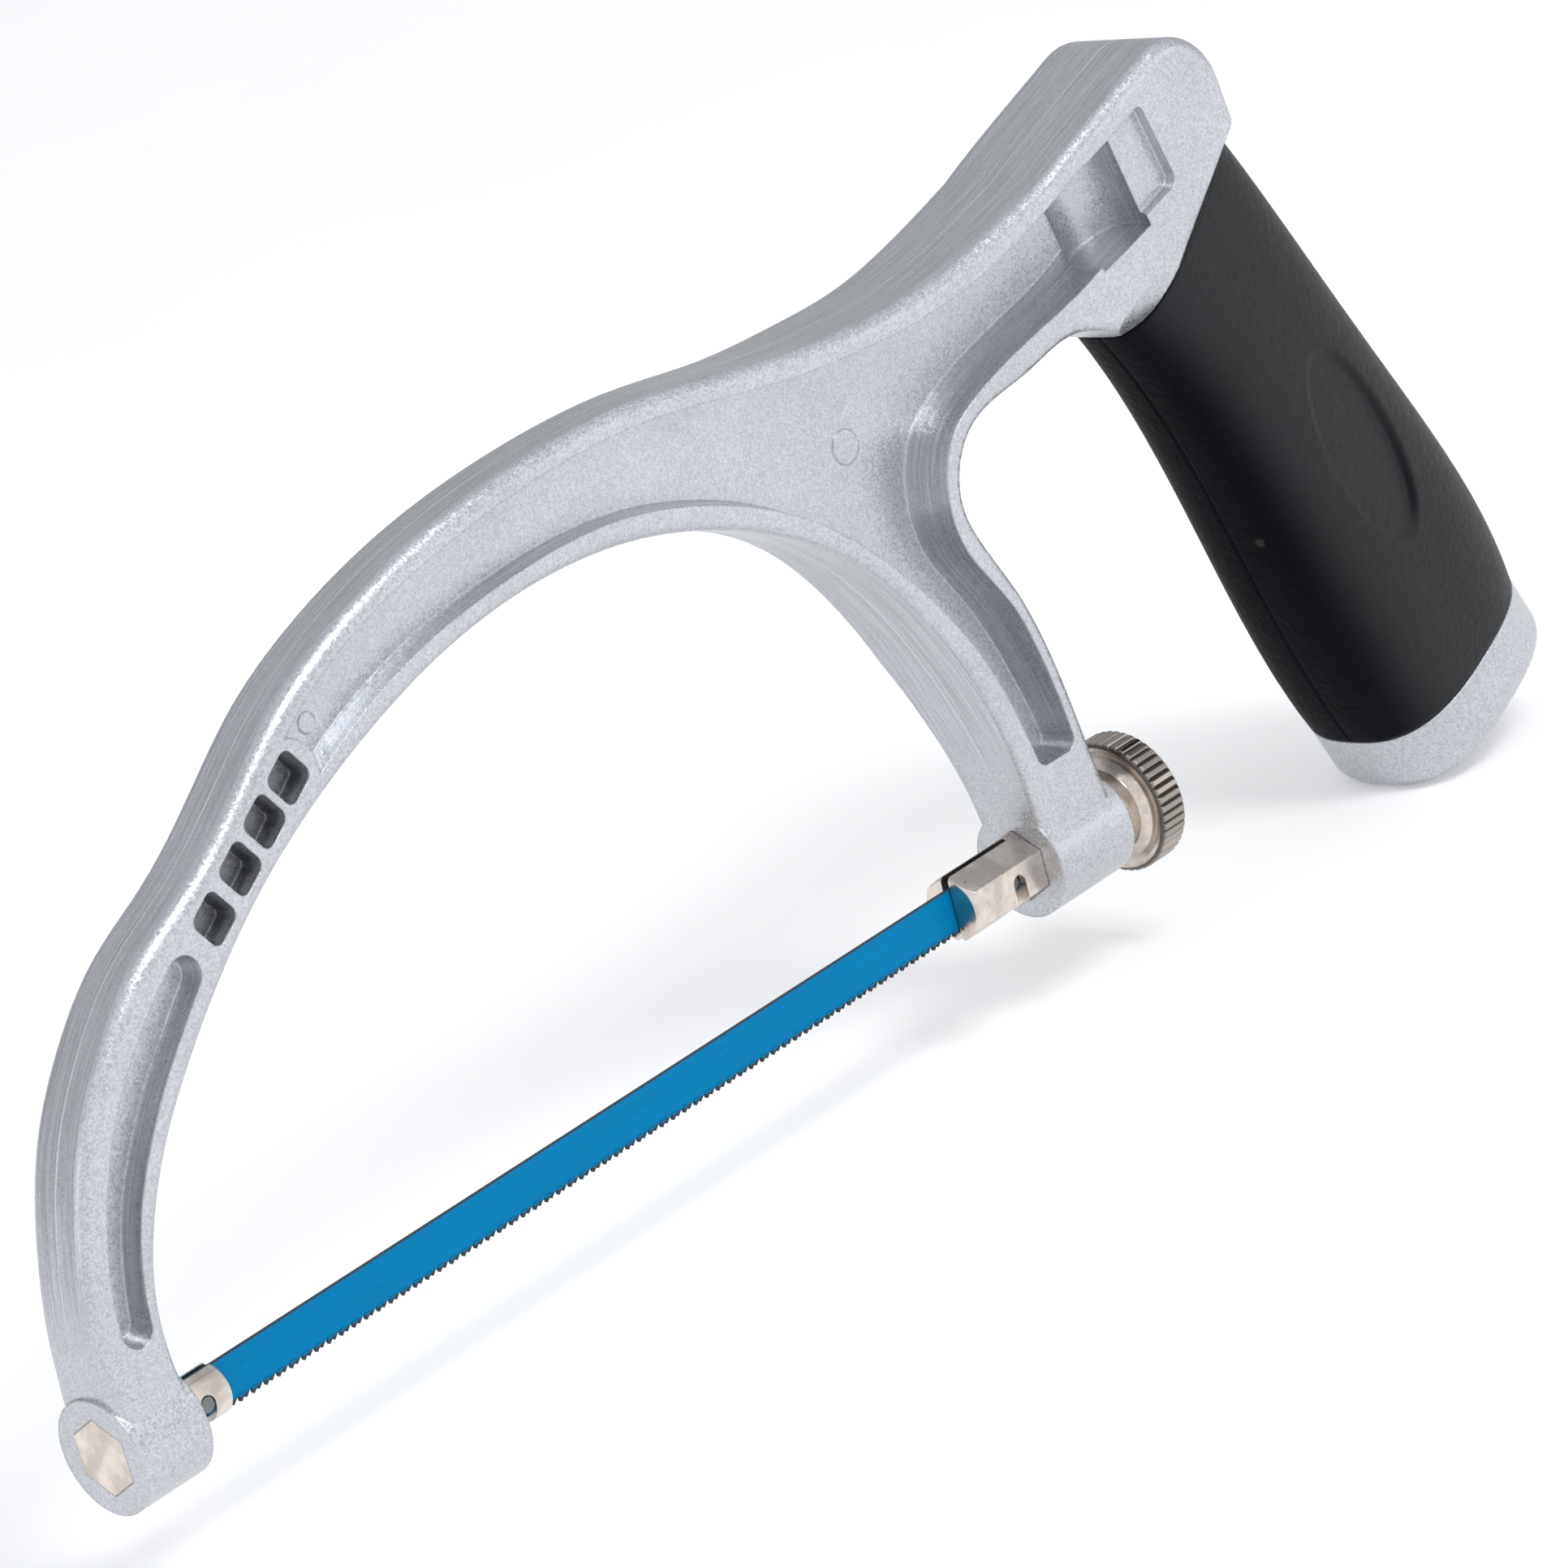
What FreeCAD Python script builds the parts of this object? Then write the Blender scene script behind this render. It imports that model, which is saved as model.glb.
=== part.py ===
import FreeCAD, Part
import math
import os
from FreeCAD import Placement, Rotation, Vector

# Small hacksaw: die-cast frame, rubber grip, hexagon blade holders, knurled tension nut.
# Frame of the part: +X runs along the blade from the front boss to the handle, +Z points up
# (the teeth point down), Y is across the saw.  The origin is on the blade axis, in the front
# face of the front boss.  Millimetres.

os.makedirs("parts", exist_ok=True)
doc = FreeCAD.newDocument("hacksaw")

# ---------------------------------------------------------------- driving dimensions
sheet = doc.addObject("Spreadsheet::Sheet", "Dimensions")
DIMENSIONS = [
    ("boss_radius", 7.5, "both bosses"),
    ("front_boss_length", 10.4, "front boss along X"),
    ("rear_boss_start", 167.25, "front face of the rear boss"),
    ("rear_boss_length", 14.75, "rear boss along X"),
    ("hex_across_flats", 8.6, "front holder's head and rear holder's bar"),
    ("hex_clearance", 0.05, "gap on each flat of the two hexagon holes"),
    ("front_socket_depth", 5.0, "hexagon socket in the front boss"),
    ("rear_socket_depth", 11.25, "hexagon hole in the rear boss"),
    ("front_shank_radius", 3.25, "round shank of the front holder"),
    ("front_shank_tip", 18.2, "end of the shank"),
    ("shank_clearance", 0.05, "gap round the shank"),
    ("stud_radius", 3.0, "M6 stud of the rear holder"),
    ("stud_clearance", 0.05, "gap between stud and nut"),
    ("stud_hole_radius", 3.3, "clearance hole through the rear boss"),
    ("rear_bar_start", 153.0, "tip of the hexagon bar"),
    ("rear_bar_end", 174.5, "shoulder of the hexagon bar"),
    ("stud_end", 190.2, "end of the stud"),
    ("blade_slot_width", 1.3, "slot in both holders"),
    ("pin_notch_width", 2.3, "cross notch for the blade pins"),
    ("blade_width", 5.55, "back of the blade to the tooth roots"),
    ("blade_back_height", 2.86, "back of the blade above the axis"),
    ("blade_thickness", 0.65, "blade"),
    ("front_pin_place", 14.1, "front blade pin"),
    ("pin_spacing", 148.0, "between the two blade pins"),
    ("blade_overhang", 2.5, "blade past each pin"),
    ("pin_radius", 1.0, "blade pins"),
    ("pin_length", 6.2, "blade pins"),
    ("tooth_pitch", 1.0583, "24 teeth per inch"),
    ("tooth_depth", 0.7, "root to tip"),
    ("tooth_set", 0.12, "sideways set of each tooth"),
    ("tooth_rake", 0.12, "how far a tooth's tip stands behind its front root"),
    ("tooth_root_overlap", 0.15, "how far a tooth reaches up into the strip"),
    ("holder_slack", 0.6, "room past each end of the blade"),
    ("knurl_depth", 0.45, "knurl grooves"),
    ("nut_collar_radius", 6.0, "collar that bears on the boss"),
    ("nut_rim_radius", 9.4, "outside of the knurl"),
    ("nut_rim_start", 186.0, "front of the knurled rim"),
    ("nut_end", 190.8, "rear face of the nut"),
    ("knurl_count", 46, "straight knurls"),
    ("web_half", 1.9, "half thickness of the frame's web"),
    ("casting_width", 26.0, "width of the blank before the sides are cut"),
    ("recess_draft", 9.0, "draft of the recess walls in degrees, opening outwards"),
    ("spine_rounding", 1.9, "outer edges of the casting"),
    ("inner_rounding", 1.5, "edges round the arch and the hand opening"),
    ("tang_width", 14.0, "tang inside the grip"),
    ("cap_height", 10.5, "end cap along the grip"),
    ("cap_rounding", 3.2, "bottom edge of the cap"),
    ("screw_radius", 2.5, "M5 screw that holds the cap"),
    ("screw_length", 24.0, "from the cap's face into the tang"),
    ("screw_head_radius", 4.6, "countersunk head"),
    ("screw_socket_flats", 3.0, "hexagon socket of the screw"),
    ("screw_socket_depth", 2.2, "hexagon socket of the screw"),
    ("screw_gap", 0.06, "gap round the screw in the cap and in the tang"),
    ("ejector_mark_height", 0.2, "ejector marks above the web"),
    ("scoop_radius", 6.2, "round-bottomed hollow beside the head"),
    ("scoop_length", 13.5, "the same hollow, across the arm"),
]
for row, (alias, value, note) in enumerate(DIMENSIONS, start=1):
    sheet.set(f"A{row}", alias)
    sheet.set(f"B{row}", str(value))
    sheet.set(f"C{row}", note)
    sheet.setAlias(f"B{row}", alias)
doc.recompute()
SIZE = {alias: value for alias, value, note in DIMENSIONS}


def bind(item, prop, expression):
    """Tie a property to the sheet; <word> in the expression is an alias."""
    item.setExpression(prop, expression.replace("<", "Dimensions.").replace(">", ""))


# ---------------------------------------------------------------- small helpers
def new_body(label):
    body = doc.addObject("PartDesign::Body", label + "_body")
    body.Label = label
    return body


def plane_of(body, role):
    for feature in body.Origin.OriginFeatures:
        if feature.Role == role:
            return feature
    raise ValueError(role)


def sketch_on(body, role, name, offset=0.0):
    sketch = body.newObject("Sketcher::SketchObject", name)
    sketch.AttachmentSupport = [(plane_of(body, role), "")]
    sketch.MapMode = "FlatFace"
    sketch.AttachmentOffset = Placement(Vector(0, 0, offset), Rotation())
    return sketch


def vector(point):
    return Vector(point[0], point[1], 0)


def spline(points, start_slope=None, end_slope=None):
    curve = Part.BSplineCurve()
    options = {"Points": [vector(p) for p in points]}
    if start_slope:
        options["InitialTangent"] = vector(start_slope)
    if end_slope:
        options["FinalTangent"] = vector(end_slope)
    curve.interpolate(**options)
    return curve


def draw(sketch, parts):
    """Add a closed outline: a list of curves and of points joined by straight lines."""
    ends = []
    for item in parts:
        if isinstance(item, tuple):
            ends.append((vector(item), vector(item), None))
        else:
            ends.append((item.value(item.FirstParameter), item.value(item.LastParameter), item))
    for index, (start, end, curve) in enumerate(ends):
        if curve is not None:
            sketch.addGeometry(curve, False)
        next_start = ends[(index + 1) % len(ends)][0]
        if (next_start - end).Length > 1e-6:
            sketch.addGeometry(Part.LineSegment(end, next_start), False)


def arc(start, middle, end):
    return Part.Arc(vector(start), vector(middle), vector(end))


def pad_both_ways(body, sketch, name, expression):
    pad = body.newObject("PartDesign::Pad", name)
    pad.Profile = sketch
    pad.Midplane = True
    bind(pad, "Length", expression)
    return pad


def cut(body, sketch, name, length=None, draft=None, both_ways=False, away=True):
    """Pocket; away=True cuts along the sketch's own normal."""
    pocket = body.newObject("PartDesign::Pocket", name)
    pocket.Profile = sketch
    if length is None:
        pocket.Type = "ThroughAll"
    else:
        pocket.Type = "Length"
        pocket.Length = length
    pocket.Midplane = both_ways
    pocket.Reversed = away and not both_ways
    if draft:
        bind(pocket, "TaperAngle", draft)
    return pocket


def edge_names(shape, wanted):
    return [f"Edge{i}" for i, edge in enumerate(shape.Edges, start=1) if wanted(edge)]


def middle_of(edge):
    return edge.valueAt((edge.FirstParameter + edge.LastParameter) / 2)


# ---------------------------------------------------------------- frame casting
# Side view, in X and Z.
SPINE = [(0.4, 12), (2.2, 23.6), (7.3, 36.7), (14.2, 45.8), (22.2, 52.7), (32.2, 57.9), (42.3, 64.6),
         (52.3, 71.8), (62.4, 76.7), (82.5, 82.4), (102.6, 84.6), (122, 84.2), (141, 81.4),
         (159, 80.3), (173.5, 81.1), (193, 85.6), (218.9, 94.7)]
SPINE_START_ANGLE = 90.0
SPINE_END_ANGLE = 18.8
HEAD_BACK_ANGLE = -82.0
HEAD_CORNER_RADIUS = 9.5
GRIP_JOINT_REAR = (232.2, 81.5)
GRIP_JOINT_FRONT = (206.2, 59.5)
HAND_OPENING = [(193.0, 64.8), (183, 63.3), (176.5, 62.3), (170.7, 60.2), (167.2, 56.0), (166.3, 51.0),
                (167.6, 46.5), (170.5, 40.2), (174.3, 30.9), (178.1, 17.2), (181.6, 2)]
ARCH = [(10.2, 4), (11.9, 18.7), (16.9, 28.8), (27, 40.3), (42.1, 52.4), (62.2, 62.4), (82.2, 68.1),
        (102.3, 69.4), (117.4, 67.2), (131.4, 62.1), (145, 53.0), (154.3, 41.3), (162.1, 25.4),
        (166.7, 10.1), (167.6, 2)]

# Half thickness along X, seen from above, and up the two arms, seen from the front.
ARCH_HALF = 4.95
HEAD_HALF = 9.8
TAPER_START = 112
TAPER = [(TAPER_START, ARCH_HALF), (126, 5.6), (140, 6.9), (150, 8.0), (165, 8.6),
         (190, 9.5), (205, HEAD_HALF)]
FRONT_ARM_JOIN = 20.0
FRONT_FLARE = [(-1, 6.2), (5, 6.1), (9, 5.75), (14, 5.25), (20, ARCH_HALF)]
REAR_FLARE = [(-1, 6.1), (6, 6.2), (14, 6.8), (26, 7.9), (38, 8.9)]
OUTSIDE = 16.0


def direction(degrees):
    return (math.cos(math.radians(degrees)), math.sin(math.radians(degrees)))


def turning_arc(start, start_angle, end_angle, radius):
    """Right-hand turn of the given radius, leaving start along start_angle."""
    centre = (start[0] + radius * math.sin(math.radians(start_angle)),
              start[1] - radius * math.cos(math.radians(start_angle)))

    def at(angle):
        return (centre[0] - radius * math.sin(math.radians(angle)),
                centre[1] + radius * math.cos(math.radians(angle)))

    return arc(start, at((start_angle + end_angle) / 2), at(end_angle))


frame = new_body("frame_casting")
profile = sketch_on(frame, "XZ_Plane", "frame_profile")
draw(profile, [
    (SPINE[0][0], 0),
    spline(SPINE, direction(SPINE_START_ANGLE), direction(SPINE_END_ANGLE)),
    turning_arc(SPINE[-1], SPINE_END_ANGLE, HEAD_BACK_ANGLE, HEAD_CORNER_RADIUS),
    GRIP_JOINT_REAR,
    GRIP_JOINT_FRONT,
    spline([(204.0, 60.6), (199.0, 62.9)] + HAND_OPENING),
    (181.6, 0),
    (167.6, 0),
    spline(ARCH[::-1]),
    (10.2, 0),
])
blank = pad_both_ways(frame, profile, "frame_blank", "<casting_width>")

plan = sketch_on(frame, "XY_Plane", "frame_plan")
for side in (-1, 1):
    draw(plan, [
        (FRONT_ARM_JOIN, side * ARCH_HALF),
        spline([(x, side * y) for x, y in TAPER], (1, 0)),
        (250, side * HEAD_HALF),
        (250, side * OUTSIDE),
        (FRONT_ARM_JOIN, side * OUTSIDE),
    ])
plan_cut = cut(frame, plan, "frame_plan_cut", both_ways=True)


def flare_cut(name, flare, height, start, length):
    """Trim both sides of an arm between two stations along X."""
    sketch = sketch_on(frame, "YZ_Plane", name + "_sketch", start)
    for side in (-1, 1):
        draw(sketch, [
            (side * flare[0][1], flare[0][0]),
            spline([(side * y, z) for z, y in flare]),
            (side * flare[-1][1], height),
            (side * OUTSIDE, height),
            (side * OUTSIDE, flare[0][0]),
        ])
    return cut(frame, sketch, name, length=length)


front_flare = flare_cut("front_arm_flare", FRONT_FLARE, 70.0, -2.0, FRONT_ARM_JOIN + 2.0)
rear_flare = flare_cut("rear_arm_flare", REAR_FLARE, 38.5, 140.0, 45.0)
doc.recompute()


def boss(name, start, length):
    """Round boss on the blade axis."""
    cylinder = frame.newObject("PartDesign::AdditiveCylinder", name)
    bind(cylinder, "Radius", "<boss_radius>")
    bind(cylinder, "Height", length)
    cylinder.AttachmentSupport = [(plane_of(frame, "YZ_Plane"), "")]
    cylinder.MapMode = "FlatFace"
    bind(cylinder, ".AttachmentOffset.Base.z", start)
    return cylinder


front_boss = boss("front_boss", "0", "<front_boss_length>")
rear_boss = boss("rear_boss", "<rear_boss_start>", "<rear_boss_length>")
rear_boss_end = SIZE["rear_boss_start"] + SIZE["rear_boss_length"]
doc.recompute()


def side_edges(shape, region):
    """Long edges between the casting's flat sides and its outline, in one region."""
    def wanted(edge):
        middle = middle_of(edge)
        long_curve = edge.Curve.TypeId == "Part::GeomBSplineCurve"
        return long_curve and abs(middle.y) > 4 and middle.z > 8 and region(middle.x, middle.z)
    return edge_names(shape, wanted)


def round_edges(base, name, names, radius):
    fillet = frame.newObject("PartDesign::Fillet", name)
    fillet.Base = (base, names)
    bind(fillet, "Radius", radius)
    doc.recompute()
    return fillet


def on_spine(x, z):
    return z > 66 and 50 < x < 100


def on_arch(x, z):
    return 30 < x < 150 and 40 < z < 64


def on_hand_opening(x, z):
    return x > 170 and z < 66


spine_edges = side_edges(rear_boss.Shape, on_spine)
spine_round = round_edges(rear_boss, "spine_rounding", spine_edges, "<spine_rounding>")
arch_edges = side_edges(spine_round.Shape, on_arch)
arch_round = round_edges(spine_round, "arch_rounding", arch_edges, "<inner_rounding>")
hand_round = round_edges(arch_round, "hand_rounding", side_edges(arch_round.Shape, on_hand_opening),
                         "<inner_rounding>")

# Recesses on both sides: their outlines are those of the floor, at the web.
MAIN_LOWER = [(55.8, 62.9), (71.3, 69.2), (92.1, 72.6), (112.9, 72.0), (128.2, 67.6), (142.4, 59.6),
              (152.2, 49.6), (162.2, 34.4), (169.2, 15.6)]
MAIN_FOOT = [(169.2, 15.6), (169.8, 14.6), (170.9, 14.3)]
MAIN_HEEL = [(174.0, 14.3), (175.0, 14.7), (175.1, 15.9)]
MAIN_REAR = [(175.1, 15.9), (172.6, 25.5), (167.2, 38.6), (163.0, 46.5), (162.4, 54.0), (165.5, 61.2),
             (173.0, 65.6), (185.6, 69.1), (201.5, 73.6)]
MAIN_UPPER = [(200.4, 83.6), (193, 81.0), (173.5, 76.4), (159, 75.9), (141, 77.4), (122, 80.6),
              (102.6, 81.2), (82.5, 79.0), (64, 74.2), (52.6, 68.2)]
MAIN_FRONT = [(52.6, 68.2), (55.5, 66.0), (55.8, 62.9)]
CHANNEL_RIGHT = [(8.2, 14.4), (9.5, 20.4), (12.0, 26.9), (16.0, 33.2), (20.4, 38.6),
                 (24.6, 42.8), (29.6, 47.4)]
CHANNEL_TOP = [(29.6, 47.4), (29.5, 49.8), (26.6, 50.4)]
CHANNEL_LEFT = [(26.6, 50.4), (20.2, 45.4), (13.4, 38.0), (8.3, 29.0), (5.6, 21.0), (4.6, 14.4)]
CHANNEL_FOOT = [(4.6, 14.4), (6.4, 12.6), (8.2, 14.4)]
LADDER = [(34.5, 53.1), (40.2, 56.9), (45.6, 60.5), (50.8, 63.8)]
LADDER_LENGTH = 4.2
LADDER_HEIGHT = 4.5
LADDER_ANGLE = 33.5
LADDER_CORNER = 0.9
TIP_LOWER = [(198.4, 71.6), (216.3, 76.7)]
TIP_LOWER_CORNER = [(216.3, 76.7), (217.2, 77.4), (217.3, 78.6)]
TIP_UPPER_CORNER = [(214.8, 87.3), (214.1, 88.4), (212.9, 88.3)]
TIP_UPPER = [(212.9, 88.3), (198.4, 83.9)]
TIP_DEPTH = 1.5
EJECTOR_MARKS = [(154.3, 64.4, 2.3), (58.0, 67.6, 1.3)]


def unit(dx, dz):
    length = math.hypot(dx, dz)
    return (dx / length, dz / length)


def grown(runs, distance):
    """The same closed outline, every point moved outwards; runs go anticlockwise in X and Z."""
    loop = [point for run in runs for point in run[:-1]]
    count = len(loop)
    moved = []
    for index, (x, z) in enumerate(loop):
        before = loop[index - 1]
        after = loop[(index + 1) % count]
        first = unit(x - before[0], z - before[1])
        second = unit(after[0] - x, after[1] - z)
        normal = unit(first[1] + second[1], -first[0] - second[0])
        miter = distance / max(0.6, normal[0] * second[1] - normal[1] * second[0])
        moved.append((x + normal[0] * miter, z + normal[1] * miter))
    runs_out = []
    start = 0
    for run in runs:
        end = start + len(run) - 1
        runs_out.append([moved[index % count] for index in range(start, end + 1)])
        start = end
    return runs_out


def curve_of(run):
    if len(run) == 2:
        return Part.LineSegment(vector(run[0]), vector(run[1]))
    if len(run) == 3:
        return arc(*run)
    return spline(run)


SIDE_OUT = 11.5


def recess(name, runs, floor):
    """Drafted recess from its floor out through the side, on both sides of the saw."""
    spread = (SIDE_OUT - floor) * math.tan(math.radians(SIZE["recess_draft"]))
    for side, word in ((1, "near"), (-1, "far")):
        bottom = sketch_on(frame, "XZ_Plane", f"{name}_{word}_floor", side * floor)
        draw(bottom, [curve_of(run) for run in runs])
        mouth = sketch_on(frame, "XZ_Plane", f"{name}_{word}_mouth", side * SIDE_OUT)
        draw(mouth, [curve_of(run) for run in grown(runs, spread)])
        loft = frame.newObject("PartDesign::SubtractiveLoft", f"{name}_{word}")
        loft.Profile = bottom
        loft.Sections = [mouth]
        loft.Ruled = True


def joined(*runs):
    """Close a loop: each run is followed by a straight stretch to the next."""
    closed = []
    for index, run in enumerate(runs):
        following = runs[(index + 1) % len(runs)]
        closed.append(run)
        if run[-1] != following[0]:
            closed.append([run[-1], following[0]])
    return closed


def corner_box(centre, length, height, angle, radius):
    """Rectangle with round corners, anticlockwise."""
    along = direction(angle)
    across = direction(angle + 90)

    def place(u, v):
        return (centre[0] + u * along[0] + v * across[0], centre[1] + u * along[1] + v * across[1])

    runs = []
    for turn, (su, sv) in enumerate([(1, -1), (1, 1), (-1, 1), (-1, -1)]):
        hub = (su * (length / 2 - radius), sv * (height / 2 - radius))
        points = []
        for degrees in (-90, -45, 0):
            c, k = direction(degrees + 90 * turn)
            points.append(place(hub[0] + radius * c, hub[1] + radius * k))
        runs.append(points)
    return joined(*runs)


web = SIZE["web_half"]
recess("main_recess", joined(MAIN_LOWER, MAIN_FOOT, MAIN_HEEL, MAIN_REAR, MAIN_UPPER, MAIN_FRONT), web)
recess("front_channel", joined(CHANNEL_RIGHT, CHANNEL_TOP, CHANNEL_LEFT, CHANNEL_FOOT), web)
for number, centre in enumerate(LADDER, start=1):
    outline = corner_box(centre, LADDER_LENGTH, LADDER_HEIGHT, LADDER_ANGLE, LADDER_CORNER)
    recess(f"ladder_recess_{number}", outline, web)
recess("tip_recess", joined(TIP_LOWER, TIP_LOWER_CORNER, TIP_UPPER_CORNER, TIP_UPPER), HEAD_HALF - TIP_DEPTH)

# Hollow between the handle arm's web and the shallow end recess: a round-bottomed scoop.
SCOOP_FOOT = (205.7, 72.1)
SCOOP_CENTRE_OUT = 6.9
SCOOP_DIRECTION = Vector(-0.24, 0, 0.97)
for side, word in ((1, "far"), (-1, "near")):
    scoop = frame.newObject("PartDesign::SubtractiveCylinder", f"scoop_{word}")
    bind(scoop, "Radius", "<scoop_radius>")
    bind(scoop, "Height", "<scoop_length>")
    scoop.MapMode = "Deactivated"
    foot = Vector(SCOOP_FOOT[0], side * SCOOP_CENTRE_OUT, SCOOP_FOOT[1])
    scoop.Placement = Placement(foot, Rotation(Vector(0, 0, 1), SCOOP_DIRECTION))

# Round marks that the ejector pins left on both faces of the web.
for number, (x, z, radius) in enumerate(EJECTOR_MARKS, start=1):
    mark = frame.newObject("PartDesign::AdditiveCylinder", f"ejector_mark_{number}")
    mark.Radius = radius
    bind(mark, "Height", "2 * (<web_half> + <ejector_mark_height>)")
    mark.MapMode = "Deactivated"
    reach = web + SIZE["ejector_mark_height"]
    mark.Placement = Placement(Vector(x, reach, z), Rotation(Vector(1, 0, 0), 90))


def axial_hole(name, kind, start, length):
    """Hole along the blade axis; kind is a radius expression or 'hexagon'."""
    feature = "SubtractivePrism" if kind == "hexagon" else "SubtractiveCylinder"
    hole = frame.newObject("PartDesign::" + feature, name)
    hole.AttachmentSupport = [(plane_of(frame, "YZ_Plane"), "")]
    hole.MapMode = "FlatFace"
    hole.AttachmentOffset = Placement(Vector(), Rotation(Vector(0, 0, 1), 30))
    bind(hole, ".AttachmentOffset.Base.z", start)
    bind(hole, "Height", length)
    if kind == "hexagon":
        hole.Polygon = 6
        bind(hole, "Circumradius", "(<hex_across_flats> / 2 + <hex_clearance>) / cos(30)")
    else:
        bind(hole, "Radius", kind)
    return hole


axial_hole("front_socket", "hexagon", "0", "<front_socket_depth>")
axial_hole("front_bore", "<front_shank_radius> + <shank_clearance>", "0", "<front_boss_length> + 1")
axial_hole("rear_socket", "hexagon", "<rear_boss_start>", "<rear_socket_depth>")
axial_hole("rear_bore", "<stud_hole_radius>", "<rear_boss_start>", "<rear_boss_length>")

# Tang: a flat bar from inside the head to the end cap.
CAP_JOINT_FRONT = (235.6, -12.0)
CAP_JOINT_REAR = (267.6, 2.2)


def on_cap_joint(share):
    """Point on the plane between grip and cap, from the front edge to the rear one."""
    return tuple(front + share * (rear - front) for front, rear in zip(CAP_JOINT_FRONT, CAP_JOINT_REAR))


TANG = [(211.2, 73.0), (213.4, 60.0), on_cap_joint(0.24), on_cap_joint(0.76), (229.6, 70.5), (223.4, 84.0)]
tang_sketch = sketch_on(frame, "XZ_Plane", "tang_sketch")
draw(tang_sketch, TANG)
tang = pad_both_ways(frame, tang_sketch, "tang", "<tang_width>")
doc.recompute()


# ---------------------------------------------------------------- oval sections of the handle
def oval(front, rear, half_width, exponent, lift=0.0):
    """Superellipse wire across the saw, between a front and a rear point in X and Z."""
    centre = Vector((front[0] + rear[0]) / 2, 0, (front[1] + rear[1]) / 2)
    along = Vector(rear[0] - front[0], 0, rear[1] - front[1])
    half = along.Length / 2
    along.normalize()
    up = Vector(-along.z, 0, along.x)
    points = []
    for step in range(40):
        angle = 2 * math.pi * step / 40
        c, k = math.cos(angle), math.sin(angle)
        u = half * math.copysign(abs(c) ** (2 / exponent), c)
        v = half_width * math.copysign(abs(k) ** (2 / exponent), k)
        points.append(centre + along * u + Vector(0, v, 0) + up * lift)
    curve = Part.BSplineCurve()
    curve.interpolate(Points=points, PeriodicFlag=True)
    return Part.Wire(curve.toShape())


def feature(label, shape):
    item = doc.addObject("Part::Feature", label + "_shape")
    item.Shape = shape
    item.Label = label
    return item


# The head of the casting is oval where it meets the grip, so its corners fade out there.
GRIP_EXPONENT = 2.7
JOINT_HALF = 10.1
FADE = 7.5
FADE_BELOW = 2.0
joint = (GRIP_JOINT_FRONT, GRIP_JOINT_REAR)
FADE_FRONT = (-5.0, -4.2)
FADE_REAR = (7.0, 5.9)
ZONE_REAR = (14.0, 11.8)
FADE_EXPONENT = 9.0
ZONE_HALF = 25.0


def shifted(point, by):
    return (point[0] + by[0], point[1] + by[1])


fade_end = (shifted(GRIP_JOINT_FRONT, FADE_FRONT), shifted(GRIP_JOINT_REAR, FADE_REAR))
zone_end = (fade_end[0], shifted(GRIP_JOINT_REAR, ZONE_REAR))
fade_core = Part.makeLoft([oval(*joint, JOINT_HALF, GRIP_EXPONENT, -FADE_BELOW),
                           oval(*joint, JOINT_HALF, GRIP_EXPONENT),
                           oval(*fade_end, HEAD_HALF + 0.6, FADE_EXPONENT, FADE)], True, True)
fade_zone = Part.makeLoft([oval(*zone_end, ZONE_HALF, FADE_EXPONENT, -FADE_BELOW),
                           oval(*zone_end, ZONE_HALF, FADE_EXPONENT, FADE)], True, True)
relief = feature("collar_relief", fade_zone.cut(fade_core))
casting = doc.addObject("Part::Cut", "frame_with_collar")
casting.Base = frame
casting.Tool = relief
casting.Label = "frame_with_collar_cut"

# ---------------------------------------------------------------- grip, end cap and its screw
CAP_HALF = 13.6
GRIP_STATIONS = [
    (GRIP_JOINT_FRONT, GRIP_JOINT_REAR, JOINT_HALF),
    ((213.5, 46.5), (240.0, 65.8), 11.5),
    ((219.5, 31.0), (248.9, 47.6), 12.4),
    ((226.0, 11.0), (259.2, 27.0), 13.5),
    (CAP_JOINT_FRONT, CAP_JOINT_REAR, CAP_HALF),
]
grip_sections = [oval(*station, GRIP_EXPONENT) for station in GRIP_STATIONS]
grip_blank = feature("grip_blank", Part.makeLoft(grip_sections, True))
grip = doc.addObject("Part::Cut", "grip_sleeve_cut")
grip.Base = grip_blank
grip.Tool = casting
grip.Label = "grip_sleeve"

cap_joint = Vector(CAP_JOINT_REAR[0] - CAP_JOINT_FRONT[0], 0, CAP_JOINT_REAR[1] - CAP_JOINT_FRONT[1])
cap_joint.normalize()
grip_down = Vector(cap_joint.z, 0, -cap_joint.x)
cap_middle = on_cap_joint(0.5)
cap_centre = Vector(cap_middle[0], 0, cap_middle[1])
cap_face = cap_centre + grip_down * SIZE["cap_height"]
cap_top = oval(CAP_JOINT_FRONT, CAP_JOINT_REAR, CAP_HALF, GRIP_EXPONENT)
cap_bottom = oval(CAP_JOINT_FRONT, CAP_JOINT_REAR, CAP_HALF, GRIP_EXPONENT, -SIZE["cap_height"])
cap_solid = Part.makeLoft([cap_top, cap_bottom], True, True)
bottom_edges = [edge for edge in cap_solid.Edges
                if edge.isClosed() and (edge.CenterOfMass - cap_face).Length < 2]
cap_blank = feature("cap_blank", cap_solid.makeFillet(SIZE["cap_rounding"], bottom_edges))

screw_axis = Rotation(Vector(0, 0, 1), grip_down * -1)


def turned(name, radius, length, start, rotation=screw_axis):
    """Cylinder with its sizes on the sheet, standing on start."""
    cylinder = doc.addObject("Part::Cylinder", name)
    bind(cylinder, "Radius", radius)
    bind(cylinder, "Height", length)
    cylinder.Placement = Placement(start, rotation)
    return cylinder


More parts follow.
